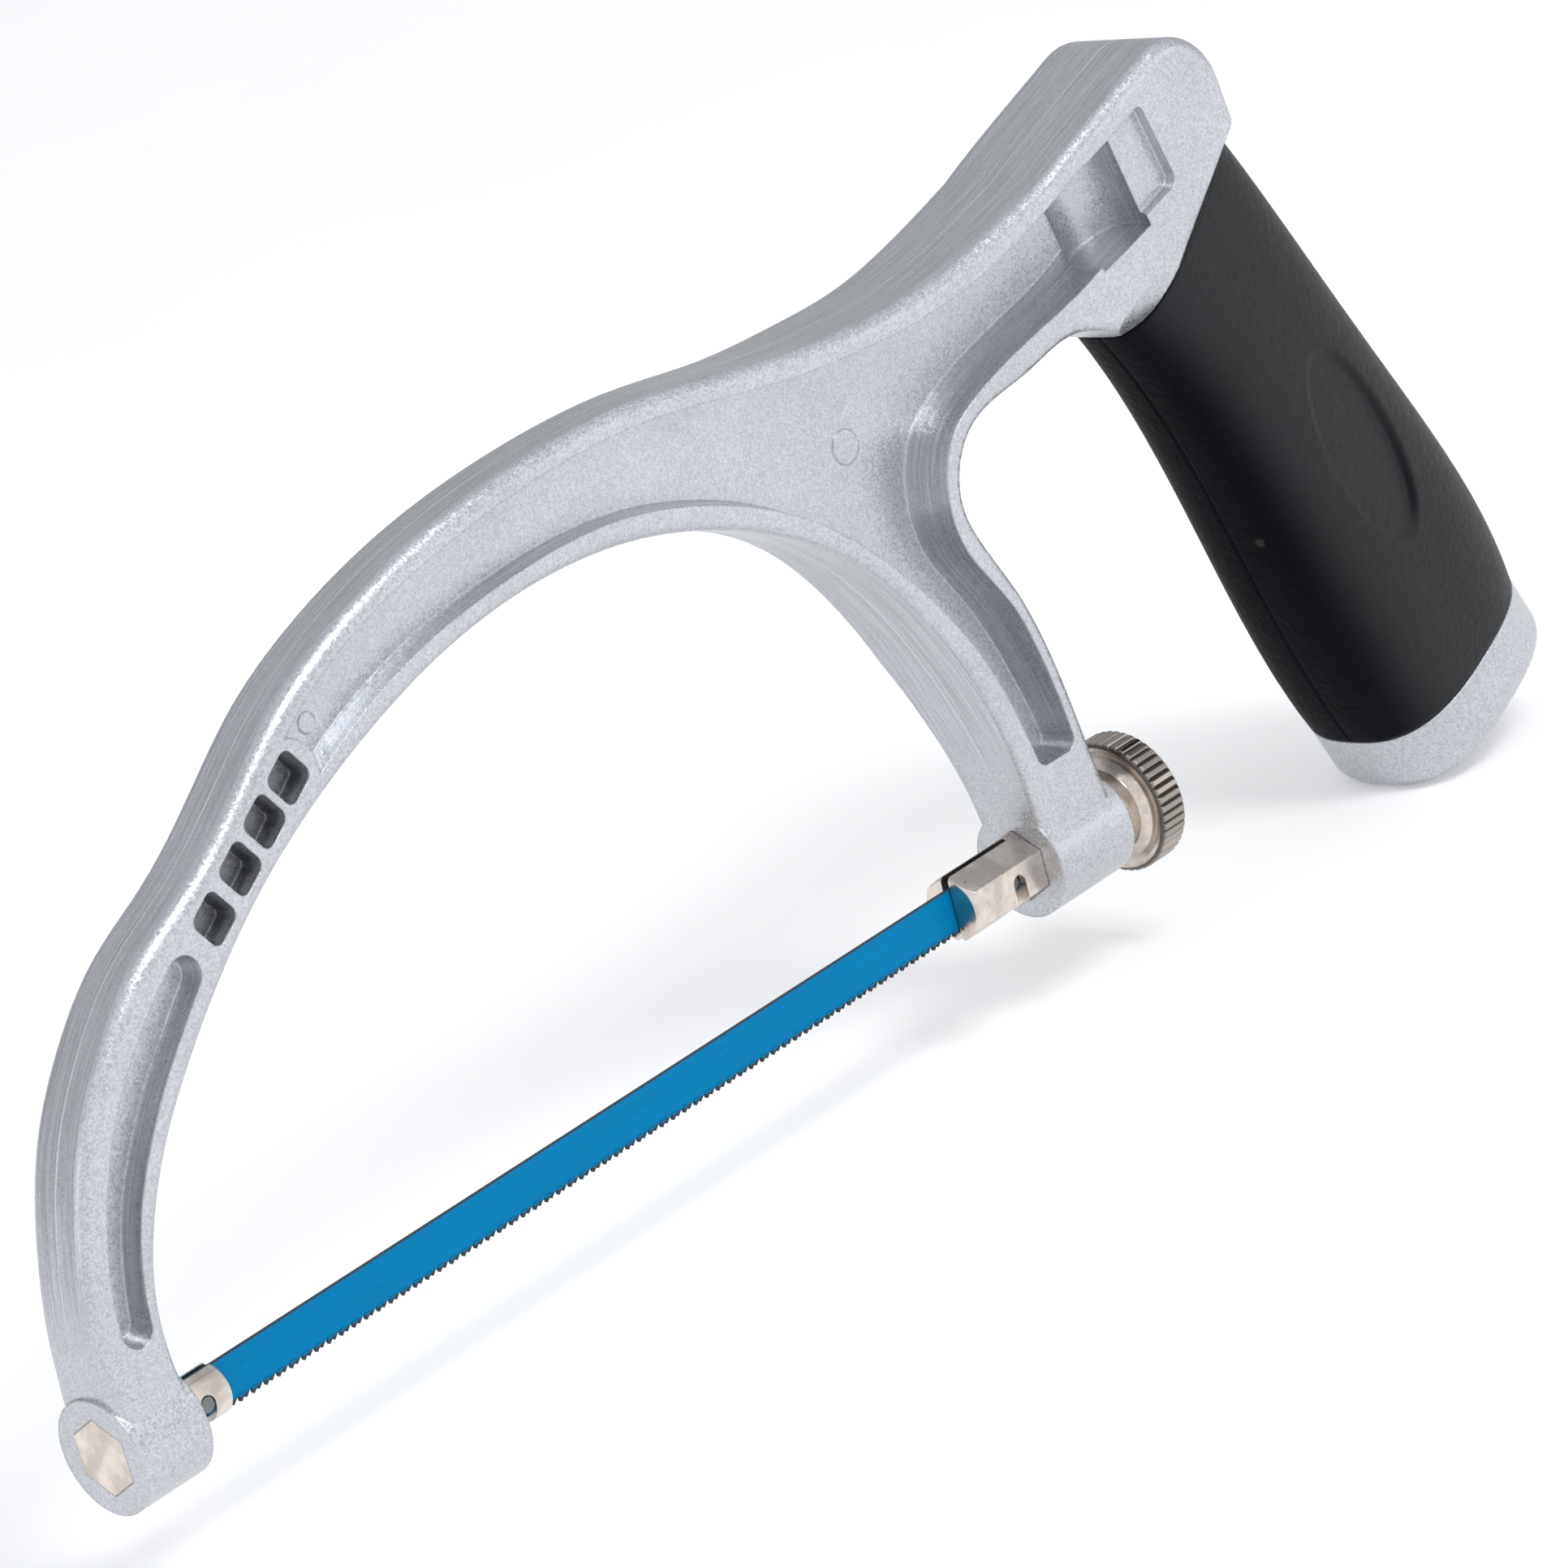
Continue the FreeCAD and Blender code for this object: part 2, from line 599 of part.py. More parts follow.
def cone(name, small, large, start, rotation=screw_axis):
    """Countersink: 90 degrees, widest at start."""
    item = doc.addObject("Part::Cone", name)
    bind(item, "Radius1", large)
    bind(item, "Radius2", small)
    bind(item, "Height", f"({large}) - ({small})")
    item.Placement = Placement(start, rotation)
    return item


def combine(kind, name, *tools):
    item = doc.addObject("Part::" + kind, name)
    if kind == "MultiFuse":
        item.Shapes = list(tools)
    else:
        item.Base, item.Tool = tools
    return item


def hexagon_bar(name, flats, length, start, rotation, turn=0.0):
    """Hexagonal prism along the rotated Z axis."""
    prism = doc.addObject("Part::Prism", name)
    prism.Polygon = 6
    bind(prism, "Circumradius", f"({flats}) / 2 / cos(30)")
    bind(prism, "Height", length)
    prism.Placement = Placement(start, rotation * Rotation(Vector(0, 0, 1), turn))
    return prism


HOLE_RADIUS = "<screw_radius> + <screw_gap>"
HOLE_DEPTH = "<screw_length> + 1"
cap_hole = combine("MultiFuse", "cap_hole",
                   turned("cap_hole_shank", HOLE_RADIUS, HOLE_DEPTH, cap_face),
                   cone("cap_hole_head", HOLE_RADIUS, "<screw_head_radius> + <screw_gap>", cap_face))
cap = combine("Cut", "end_cap_cut", cap_blank, cap_hole)
cap.Label = "end_cap"

screw_blank = combine("MultiFuse", "screw_blank",
                      turned("screw_shank", "<screw_radius>", "<screw_length>", cap_face),
                      cone("screw_head", "<screw_radius>", "<screw_head_radius>", cap_face))
screw = combine("Cut", "screw_cut", screw_blank,
                hexagon_bar("screw_socket", "<screw_socket_flats>", "<screw_socket_depth>",
                            cap_face, screw_axis))
screw.Label = "end_cap_screw"

tapped = combine("Cut", "frame_with_tapped_tang", casting,
                 turned("tapped_hole", HOLE_RADIUS, HOLE_DEPTH, cap_face))
tapped.Label = "frame"

# ---------------------------------------------------------------- blade line, along the axis
to_rear = Rotation(Vector(0, 0, 1), Vector(1, 0, 0))
TOOL_REACH = 6.0
HOLDER_EDGE = 0.4
STUD_EDGE = 0.6


def slot_and_notch(name, start, end, pin_place):
    """What is cut out of a holder: the blade's slot, and the pin's notch, open downwards."""
    slot = doc.addObject("Part::Box", name + "_slot")
    bind(slot, "Length", f"({end}) - ({start})")
    bind(slot, "Width", "<blade_slot_width>")
    slot.Height = 2 * TOOL_REACH
    bind(slot, ".Placement.Base.x", start)
    bind(slot, ".Placement.Base.y", "-<blade_slot_width> / 2")
    slot.Placement.Base.z = -TOOL_REACH
    notch = doc.addObject("Part::Box", name + "_notch")
    bind(notch, "Length", "<pin_notch_width>")
    notch.Width = 2 * TOOL_REACH
    notch.Height = TOOL_REACH
    bind(notch, ".Placement.Base.x", f"({pin_place}) - <pin_notch_width> / 2")
    notch.Placement.Base.y = -TOOL_REACH
    notch.Placement.Base.z = -TOOL_REACH
    crown = doc.addObject("Part::Cylinder", name + "_crown")
    bind(crown, "Radius", "<pin_notch_width> / 2")
    crown.Height = 2 * TOOL_REACH
    crown.Placement = Placement(Vector(0, TOOL_REACH, 0), Rotation(Vector(1, 0, 0), 90))
    bind(crown, ".Placement.Base.x", pin_place)
    return combine("MultiFuse", name + "_tool", slot, notch, crown)


FRONT_PIN = "<front_pin_place>"
REAR_PIN = "<front_pin_place> + <pin_spacing>"
BLADE_FRONT = "<front_pin_place> - <blade_overhang>"
BLADE_REAR = "<front_pin_place> + <pin_spacing> + <blade_overhang>"

front_head = hexagon_bar("front_head", "<hex_across_flats>", "<front_socket_depth>", Vector(), to_rear, 0)
front_shank = turned("front_shank", "<front_shank_radius>", "<front_shank_tip>", Vector(), to_rear)
front_round = doc.addObject("Part::Chamfer", "front_shank_edge")
front_round.Base = front_shank
doc.recompute()
rim = [i for i, edge in enumerate(front_shank.Shape.Edges, start=1)
       if edge.Closed and abs(edge.CenterOfMass.x - SIZE["front_shank_tip"]) < 0.01]
front_round.Edges = [(i, HOLDER_EDGE, HOLDER_EDGE) for i in rim]
front_blank = combine("MultiFuse", "front_blank", front_head, front_round)
front_holder = combine("Cut", "front_holder_cut", front_blank,
                       slot_and_notch("front", BLADE_FRONT + " - <holder_slack>",
                                      "<front_shank_tip> + 1", FRONT_PIN))
front_holder.Label = "front_blade_holder"

rear_bar = hexagon_bar("rear_bar", "<hex_across_flats>", "<rear_bar_end> - <rear_bar_start>",
                       Vector(), to_rear, 0)
bind(rear_bar, ".Placement.Base.x", "<rear_bar_start>")
rear_tip = doc.addObject("Part::Cone", "rear_tip")
bind(rear_tip, "Radius1", "<hex_across_flats> / 2 - 0.1")
bind(rear_tip, "Radius2", "<hex_across_flats> / 2 - 0.1 + <rear_bar_end> - <rear_bar_start>")
bind(rear_tip, "Height", "<rear_bar_end> - <rear_bar_start>")
rear_tip.Placement = Placement(Vector(), to_rear)
bind(rear_tip, ".Placement.Base.x", "<rear_bar_start>")
rear_hex = combine("Common", "rear_hex", rear_bar, rear_tip)
stud = turned("stud", "<stud_radius>", "<stud_end> - <rear_bar_end> + 1", Vector(), to_rear)
bind(stud, ".Placement.Base.x", "<rear_bar_end> - 1")
stud_edge = doc.addObject("Part::Chamfer", "stud_edge")
stud_edge.Base = stud
doc.recompute()
tip_rim = [i for i, edge in enumerate(stud.Shape.Edges, start=1)
           if edge.Closed and abs(edge.CenterOfMass.x - SIZE["stud_end"]) < 0.01]
stud_edge.Edges = [(i, STUD_EDGE, STUD_EDGE) for i in tip_rim]
rear_blank = combine("MultiFuse", "rear_blank", rear_hex, stud_edge)
rear_holder = combine("Cut", "rear_holder_cut", rear_blank,
                      slot_and_notch("rear", "<rear_bar_start> - 1",
                                      BLADE_REAR + " + <holder_slack>", REAR_PIN))
rear_holder.Label = "rear_blade_holder"

# Tension nut: collar, dished front, knurled rim and a slightly domed back.
nut = new_body("tension_nut")
nut_sketch = sketch_on(nut, "XZ_Plane", "nut_section")
collar = rear_boss_end
bore = SIZE["stud_radius"] + SIZE["stud_clearance"]
collar_radius = SIZE["nut_collar_radius"]
rim_radius = SIZE["nut_rim_radius"]
rim_start = SIZE["nut_rim_start"]
nut_end = SIZE["nut_end"]
draw(nut_sketch, [
    (collar, bore),
    (collar, collar_radius - 0.4),
    (collar + 0.4, collar_radius),
    (rim_start - 0.8, collar_radius),
    arc((rim_start - 0.8, collar_radius), (rim_start - 0.2, collar_radius + 0.6),
        (rim_start + 0.2, rim_radius - 2.2)),
    (rim_start, rim_radius - 1.2),
    (rim_start, rim_radius - 0.5),
    (rim_start + 0.5, rim_radius),
    (nut_end - 0.5, rim_radius),
    (nut_end, rim_radius - 0.6),
    (nut_end, bore),
])
nut_turning = nut.newObject("PartDesign::Revolution", "nut_turning")
nut_turning.Profile = nut_sketch
nut_turning.ReferenceAxis = (plane_of(nut, "X_Axis"), [""])
nut_turning.Angle = 360
doc.recompute()
groove_sketch = sketch_on(nut, "YZ_Plane", "knurl_section", rim_start - 0.2)
GROOVE_SHARE = 0.62
groove_half = math.pi * rim_radius / SIZE["knurl_count"] * GROOVE_SHARE
groove_mouth = rim_radius + 0.1
groove_root = rim_radius - SIZE["knurl_depth"]
draw(groove_sketch, [(-groove_half, groove_mouth), (0, groove_root), (groove_half, groove_mouth)])
groove = cut(nut, groove_sketch, "knurl_groove", length=nut_end - rim_start + 1.0, away=True)
knurl = nut.newObject("PartDesign::PolarPattern", "knurl")
knurl.Originals = [groove]
knurl.Axis = (plane_of(nut, "X_Axis"), [""])
knurl.Angle = 360
bind(knurl, "Occurrences", "<knurl_count>")
nut.Tip = knurl

# Blade: strip with a pin hole at each end and teeth set left and right in turn.
blade_start = SIZE["front_pin_place"] - SIZE["blade_overhang"]
blade_end = SIZE["front_pin_place"] + SIZE["pin_spacing"] + SIZE["blade_overhang"]
root_height = SIZE["blade_back_height"] - SIZE["blade_width"]
half_thick = SIZE["blade_thickness"] / 2
TEETH_START = 18.6
TEETH_END = 157.5
strip = Part.makeBox(blade_end - blade_start, 2 * half_thick, SIZE["blade_width"],
                     Vector(blade_start, -half_thick, root_height))
BLADE_CORNER = 1.2
corners = [edge for edge in strip.Edges if abs(edge.tangentAt(edge.FirstParameter).y) > 0.99]
strip = strip.makeFillet(BLADE_CORNER, corners)
tooth_count = int((TEETH_END - TEETH_START) / SIZE["tooth_pitch"])
teeth = []
for number in range(tooth_count):
    front = TEETH_START + number * SIZE["tooth_pitch"]
    lean = SIZE["tooth_set"] if number % 2 else -SIZE["tooth_set"]
    inside = root_height + SIZE["tooth_root_overlap"]
    outline = [Vector(front, lean - half_thick, inside),
               Vector(front + SIZE["tooth_rake"], lean - half_thick, root_height - SIZE["tooth_depth"]),
               Vector(front + SIZE["tooth_pitch"], lean - half_thick, inside)]
    face = Part.Face(Part.makePolygon(outline + outline[:1]))
    teeth.append(face.extrude(Vector(0, 2 * half_thick, 0)))
blade_shape = strip.fuse(teeth)
for place in (SIZE["front_pin_place"], SIZE["front_pin_place"] + SIZE["pin_spacing"]):
    pin_hole = Part.makeCylinder(SIZE["pin_radius"], 4, Vector(place, 2, 0), Vector(0, -1, 0))
    blade_shape = blade_shape.cut(pin_hole)
blade = feature("blade", blade_shape)

pins = []
for word, place in (("front", FRONT_PIN), ("rear", REAR_PIN)):
    pin = doc.addObject("Part::Cylinder", f"pin_{word}")
    bind(pin, "Radius", "<pin_radius>")
    bind(pin, "Height", "<pin_length>")
    pin.Placement = Placement(Vector(), Rotation(Vector(1, 0, 0), 90))
    bind(pin, ".Placement.Base.x", place)
    bind(pin, ".Placement.Base.y", "<pin_length> / 2")
    pin.Label = f"blade_pin_{word}"
    pins.append(pin)

doc.recompute()

# ---------------------------------------------------------------- check and write
failed = [item.Name for item in doc.Objects if "Invalid" in item.State or "Error" in item.State]
if failed:
    raise RuntimeError("features that failed: " + ", ".join(failed))
nodes = [tapped, grip, cap, screw, front_holder, rear_holder, nut, blade] + pins
for node in nodes:
    shape = node.Shape
    if shape.isNull() or not shape.isValid() or len(shape.Solids) != 1:
        raise RuntimeError(f"{node.Label}: the shape is not one sound solid")
    shape.exportStep(f"parts/{node.Label}.step")
    print(f"{node.Label}: {shape.Volume:.1f} mm3")
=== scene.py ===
import math

import bpy
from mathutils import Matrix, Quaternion, Vector
from mathutils.bvhtree import BVHTree


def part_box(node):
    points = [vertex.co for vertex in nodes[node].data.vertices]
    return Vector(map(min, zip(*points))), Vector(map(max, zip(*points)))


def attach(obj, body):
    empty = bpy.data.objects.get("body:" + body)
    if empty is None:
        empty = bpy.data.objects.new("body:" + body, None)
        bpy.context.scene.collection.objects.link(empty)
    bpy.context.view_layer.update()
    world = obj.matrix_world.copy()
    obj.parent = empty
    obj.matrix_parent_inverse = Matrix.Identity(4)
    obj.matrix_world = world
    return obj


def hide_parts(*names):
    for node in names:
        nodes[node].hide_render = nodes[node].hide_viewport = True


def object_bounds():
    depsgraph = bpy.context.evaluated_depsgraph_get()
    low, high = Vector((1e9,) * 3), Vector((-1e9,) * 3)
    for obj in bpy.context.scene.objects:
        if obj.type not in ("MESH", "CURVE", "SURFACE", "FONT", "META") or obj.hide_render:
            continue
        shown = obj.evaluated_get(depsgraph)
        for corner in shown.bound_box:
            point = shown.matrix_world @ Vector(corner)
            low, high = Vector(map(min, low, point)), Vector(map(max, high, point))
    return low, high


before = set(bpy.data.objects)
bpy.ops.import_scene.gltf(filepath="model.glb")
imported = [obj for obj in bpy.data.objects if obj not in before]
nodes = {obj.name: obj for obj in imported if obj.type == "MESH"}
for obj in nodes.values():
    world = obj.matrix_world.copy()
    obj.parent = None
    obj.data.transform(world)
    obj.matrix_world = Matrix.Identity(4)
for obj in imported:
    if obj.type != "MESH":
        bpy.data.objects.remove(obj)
cad_box = [list(corner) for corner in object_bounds()]

MM = 0.001

# The view: a long lens in front of the nose of the saw, a little above it and rolled.
VIEW_TARGET = Vector((0.1306, 0.0002, 0.0278))
VIEW_DISTANCE = 0.822
VIEW_AZIMUTH = math.radians(42.33)
VIEW_ELEVATION = math.radians(18.31)
VIEW_ROLL = math.radians(-15.46)
LENS = 148.7


def make_camera():
    outward = Vector((-math.sin(VIEW_AZIMUTH) * math.cos(VIEW_ELEVATION),
                      -math.cos(VIEW_AZIMUTH) * math.cos(VIEW_ELEVATION),
                      math.sin(VIEW_ELEVATION)))
    data = bpy.data.cameras.new("camera")
    data.lens = LENS
    camera = bpy.data.objects.new("camera", data)
    camera.location = VIEW_TARGET + outward * VIEW_DISTANCE
    camera.rotation_mode = "QUATERNION"
    level = outward.to_track_quat("Z", "Y")
    camera.rotation_quaternion = level @ Quaternion((0, 0, 1), VIEW_ROLL)
    bpy.context.scene.collection.objects.link(camera)
    bpy.context.scene.camera = camera


# ---------------------------------------------------------------- materials

class Shader:
    """A procedural material: a principled shader and the nodes that drive it, in the object's own metres."""

    def __init__(self, name, **fixed):
        self.material = bpy.data.materials.new(name)
        self.material.use_nodes = True
        self.tree = self.material.node_tree
        self.bsdf = self.tree.nodes["Principled BSDF"]
        for socket, value in fixed.items():
            self.bsdf.inputs[socket.replace("_", " ")].default_value = value
        self.place = self.tree.nodes.new("ShaderNodeTexCoord").outputs["Object"]

    def node(self, kind, inputs=(), **settings):
        made = self.tree.nodes.new("ShaderNode" + kind)
        for key, value in settings.items():
            setattr(made, key, value)
        for key, value in dict(inputs).items():
            self.connect(value, made.inputs[key])
        return made

    def connect(self, value, socket):
        if isinstance(value, bpy.types.NodeSocket):
            self.tree.links.new(value, socket)
        else:
            socket.default_value = value

    def math(self, operation, *values, clamp=False):
        return self.node("Math", dict(enumerate(values)), operation=operation, use_clamp=clamp).outputs[0]

    def axis(self, letter):
        return self.node("SeparateXYZ", {"Vector": self.place}).outputs[letter]

    def band(self, value, low, high):
        """0 below low, 1 above high, and smooth between them."""
        made = self.node("MapRange", {"Value": value, "From Min": low, "From Max": high})
        made.interpolation_type = "SMOOTHSTEP"
        return made.outputs["Result"]

    def stretched(self, scale):
        return self.node("Mapping", {"Vector": self.place, "Scale": scale}).outputs["Vector"]

    def noise(self, scale, detail=2.0, rough=0.5, place=None):
        made = self.node("TexNoise", {"Vector": place or self.place, "Scale": scale, "Detail": detail,
                                      "Roughness": rough})
        return made.outputs["Fac"]

    def flakes(self, size, place=None):
        made = self.node("TexVoronoi", {"Vector": place or self.place, "Scale": 1.0 / size})
        return self.node("SeparateColor", {"Color": made.outputs["Color"]}).outputs["Red"]

    def mix(self, factor, first, second):
        made = self.node("Mix", {"Factor": factor}, data_type="RGBA")
        self.connect(first, made.inputs[6])
        self.connect(second, made.inputs[7])
        return made.outputs[2]

    def span(self, factor, low, high):
        return self.node("MapRange", {"Value": factor, "To Min": low, "To Max": high}).outputs["Result"]

    def bump(self, height, depth, strength=1.0, under=None):
        made = self.node("Bump", {"Height": height, "Distance": depth, "Strength": strength})
        if under:
            self.connect(under, made.inputs["Normal"])
        return made.outputs["Normal"]

    def glitter(self, size, tilt, under):
        """Flakes that each lean their own way."""
        cells = self.node("TexVoronoi", {"Vector": self.place, "Scale": 1.0 / size})
        lean = self.node("VectorMath", {0: cells.outputs["Color"], 1: (0.5, 0.5, 0.5)}, operation="SUBTRACT")
        scaled = self.node("VectorMath", {0: lean.outputs[0]}, operation="SCALE")
        scaled.inputs["Scale"].default_value = tilt
        total = self.node("VectorMath", {0: under, 1: scaled.outputs[0]}, operation="ADD")
        return self.node("VectorMath", {0: total.outputs[0]}, operation="NORMALIZE").outputs[0]

    def soft_edges(self, radius):
        """The surface's direction, with its sharp edges rounded over."""
        return self.node("Bevel", {"Radius": radius}, samples=5).outputs["Normal"]

    def facing_side(self):
        """How much the surface faces sideways: 1 on the sides of the saw, 0 round its edge."""
        normal = self.node("TexCoord").outputs["Normal"]
        across = self.node("SeparateXYZ", {"Vector": normal}).outputs["Y"]
        return self.math("ABSOLUTE", across)

    def near_axis(self):
        """Distance from the blade axis."""
        y, z = self.axis("Y"), self.axis("Z")
        return self.math("SQRT", self.math("ADD", self.math("MULTIPLY", y, y), self.math("MULTIPLY", z, z)))

    def finish(self, colour=None, roughness=None, normal=None):
        for socket, value in (("Base Color", colour), ("Roughness", roughness), ("Normal", normal)):
            if value is not None:
                self.connect(value, self.bsdf.inputs[socket])
        return self.material


def grey(value, tint=(1.0, 1.0, 1.0)):
    return (value * tint[0], value * tint[1], value * tint[2], 1.0)


COOL = (0.965, 0.99, 1.04)
BLUISH = (0.80, 1.0, 1.45)
WARM = (1.04, 0.93, 0.84)

# Rubbed places on the grip: where, and how far each one reaches.
SCUFFS = [(Vector((222.3, -4.4, 23.5)) * MM, 0.9 * MM)]

# The four small pockets in the front arm, as the ends of the line through their middles.
POCKETS = (Vector((34.5, 0, 53.1)) * MM, Vector((50.8, 0, 63.8)) * MM)
POCKET_SKIN = 4.5 * MM
POCKET_FADE = 1.6 * MM
POCKET_HALF_LENGTH = 2.2 * MM
POCKET_HALF_HEIGHT = 2.4 * MM
POCKET_RIM = 0.2 * MM

# The frame's round edge: brushed above the bosses, with the mould's seam down its middle.
BOSS_TOP = 12 * MM
BRUSHED_FROM = 20 * MM
SEAM_EDGE = 0.26 * MM
SEAM_CORE = 0.06 * MM

# Bands of the nut's knurling, measured in from its rim.
KNURL_ROOT = (0.75 * MM, 0.60 * MM)
KNURL_CREST = (0.34 * MM, 0.05 * MM)

# Bare metal on the blade: the teeth, and a thin line along the back.
TOOTH = 0.75 * MM
BACK_LINE = (0.12 * MM, 0.02 * MM)


def painted_pocket_shade(s):
    """1 inside the pockets of the front arm: the mask for the painted shade darkening their floors."""
    start, end = POCKETS
    along = (end - start).normalized()
    across = Vector((-along.z, 0, along.x))
    offset = s.node("VectorMath", {0: s.place, 1: start}, operation="SUBTRACT").outputs[0]
    run = s.node("VectorMath", {0: offset, 1: along}, operation="DOT_PRODUCT").outputs["Value"]
    aside = s.node("VectorMath", {0: offset, 1: across}, operation="DOT_PRODUCT").outputs["Value"]
    side = s.math("ABSOLUTE", aside)
    length = (end - start).length
    reach = POCKET_HALF_LENGTH + POCKET_RIM
    inside = s.band(run, -reach, -POCKET_HALF_LENGTH)
    inside = s.math("MULTIPLY", inside, s.band(run, length + reach, length + POCKET_HALF_LENGTH))
    inside = s.math("MULTIPLY", inside, s.band(side, POCKET_HALF_HEIGHT + POCKET_RIM, POCKET_HALF_HEIGHT))
    depth = s.band(s.math("ABSOLUTE", s.axis("Y")), POCKET_SKIN, POCKET_SKIN - POCKET_FADE)
    return s.math("MULTIPLY", inside, depth)


def casting_material(name, pockets=False):
    """Silver paint with metal flakes over a slightly grainy casting, brushed round its edge."""
    s = Shader(name, Metallic=0.88)
    flake = s.flakes(0.24 * MM)
    cloud = s.noise(70, 4)
    mottle = s.math("ADD", s.math("MULTIPLY", flake, 0.66), s.math("MULTIPLY", cloud, 0.34))
    colour = s.mix(mottle, grey(0.40, COOL), grey(0.68, COOL))
    above = s.band(s.axis("Z"), BOSS_TOP, BRUSHED_FROM)
    edge = s.math("MULTIPLY", s.band(s.facing_side(), 0.55, 0.20), above)
    streak = s.noise(1.0, 5, 0.68, place=s.stretched((60, 3400, 60)))
    brushed = s.mix(s.band(streak, 0.25, 0.75), grey(0.34, COOL), grey(0.70, COOL))
    colour = s.mix(s.math("MULTIPLY", edge, 0.70), colour, brushed)
    middle = s.math("ABSOLUTE", s.axis("Y"))
    seam = s.math("MULTIPLY", s.band(middle, SEAM_EDGE, SEAM_CORE), edge)
    colour = s.mix(s.math("MULTIPLY", seam, 0.45), colour, grey(0.85, COOL))
    pits = s.band(s.noise(700, 3, 0.7), 0.72, 0.78)
    colour = s.mix(s.math("MULTIPLY", pits, 0.35), colour, grey(0.16, COOL))
    if pockets:
        # painted shade: the pocket floors are darkened to stand in for the shade that falls inside them
        colour = s.mix(s.math("MULTIPLY", painted_pocket_shade(s), 0.80), colour, grey(0.10, COOL))
    grain = s.bump(s.noise(3000, 3, 0.6), 0.04 * MM, 0.65, s.soft_edges(0.45 * MM))
    wave = s.bump(s.noise(420, 3), 0.05 * MM, 0.55, grain)
    raised = s.bump(seam, 0.06 * MM, 0.8, wave)
    normal = s.glitter(0.26 * MM, 0.13, raised)
    return s.finish(colour, s.span(flake, 0.24, 0.42), normal)


def nickel_layers(name, light, dark):
    """Warm nickel plate with stains and specks: its shader, colour, roughness and surface."""
    s = Shader(name, Metallic=1.0)
    specks = s.band(s.noise(1500, 3, 0.65), 0.66, 0.76)
    stain = s.band(s.noise(240, 5, 0.6), 0.36, 0.66)
    tone = s.mix(stain, grey(dark, WARM), grey(light, WARM))
    colour = s.mix(specks, tone, grey(0.10, WARM))
    drawn = s.noise(1.0, 3, place=s.stretched((160, 4200, 4200)))
    fine = s.bump(drawn, 0.014 * MM, 0.7, s.soft_edges(0.18 * MM))
    normal = s.bump(s.noise(700, 2), 0.03 * MM, 0.5, fine)
    return s, colour, s.span(s.noise(600, 3), 0.14, 0.30), normal


def holder_material():
    """Plain nickel plate."""
    s, colour, rough, normal = nickel_layers("nickel", 0.74, 0.52)
    return s.finish(colour, rough, normal)


def nut_material():
    """The holders' nickel, darker over the knurled rim and darkest at the roots of the knurling."""
    s, colour, rough, normal = nickel_layers("nickel_knurled", 0.70, 0.46)
    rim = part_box("tension_nut")[1].z
    radius = s.near_axis()
    knurl = s.band(radius, rim - KNURL_ROOT[0], rim - KNURL_ROOT[1])
    crest = s.band(radius, rim - KNURL_CREST[0], rim - KNURL_CREST[1])
    ridge = s.mix(crest, grey(0.11, WARM), grey(0.34, WARM))
    return s.finish(s.mix(knurl, colour, ridge), rough, normal)


def rubber_material():
    """Near-black rubber with a fine grain, dust and rubbed spots; its shine is turned down on the surfaces
    facing the front, as painted shade.
    """
    s = Shader("grip_rubber")
    ahead = s.node("SeparateXYZ", {"Vector": s.node("TexCoord").outputs["Normal"]}).outputs["X"]
    # painted shade: less shine on the surfaces facing the front, to darken the grip's front where the light
    # falls less
    front_shade_shine = s.node("MapRange", {"Value": s.band(ahead, -0.15, -0.85), "To Min": 0.36, "To Max": 0.04})
    s.connect(front_shade_shine.outputs["Result"], s.bsdf.inputs["Specular IOR Level"])
    cloud = s.noise(55, 4, 0.6)
    colour = s.mix(cloud, grey(0.0022, BLUISH), grey(0.0050, BLUISH))
    dust = s.band(s.noise(1300, 2, 0.7), 0.73, 0.78)
    colour = s.mix(s.math("MULTIPLY", dust, 0.5), colour, grey(0.05, WARM))
    for place, reach in SCUFFS:
        away = s.node("VectorMath", {0: s.place, 1: place}, operation="DISTANCE").outputs["Value"]
        ragged = s.math("ADD", away, s.math("MULTIPLY", s.noise(1200, 3), 0.9 * MM))
        rub = s.band(ragged, reach + 0.5 * MM, reach)
        colour = s.mix(s.math("MULTIPLY", rub, 0.8), colour, grey(0.035, WARM))
    fine = s.bump(s.noise(1000, 2, 0.6), 0.20 * MM, 0.8)
    normal = s.bump(s.noise(160, 3), 0.10 * MM, 0.5, fine)
    return s.finish(colour, s.span(s.noise(900, 3), 0.38, 0.58), normal)


def blade_material():
    """Blue lacquer, worn to bare steel on the teeth and along the back."""
    s = Shader("blade_paint")
    s.bsdf.inputs["Specular IOR Level"].default_value = 0.04
    height = s.axis("Z")
    low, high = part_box("blade")
    bare = s.band(height, low.z + TOOTH * 1.1, low.z + TOOTH * 0.6)
    back = s.band(height, high.z - BACK_LINE[0], high.z - BACK_LINE[1])
    streaks = s.noise(1.0, 4, place=s.stretched((60, 900, 1500)))
    paint = s.mix(streaks, (0.0, 0.150, 0.335, 1), (0.0, 0.20, 0.42, 1))
    colour = s.mix(s.math("MAXIMUM", bare, back), paint, (0.045, 0.06, 0.075, 1))
    normal = s.bump(streaks, 0.02 * MM, 0.4)
    return s.finish(colour, s.span(s.noise(500, 3), 0.32, 0.46), normal)


def steel_material(name, dark, light):
    s = Shader(name, Metallic=1.0)
    colour = s.mix(s.noise(900, 4), grey(dark), grey(light))
    normal = s.bump(s.noise(2600, 2), 0.02 * MM, 0.5)
    return s.finish(colour, s.span(s.noise(1400, 3), 0.28, 0.46), normal)


def dress(node, material):
    data = nodes[node].data
    data.materials.clear()
    data.materials.append(material)


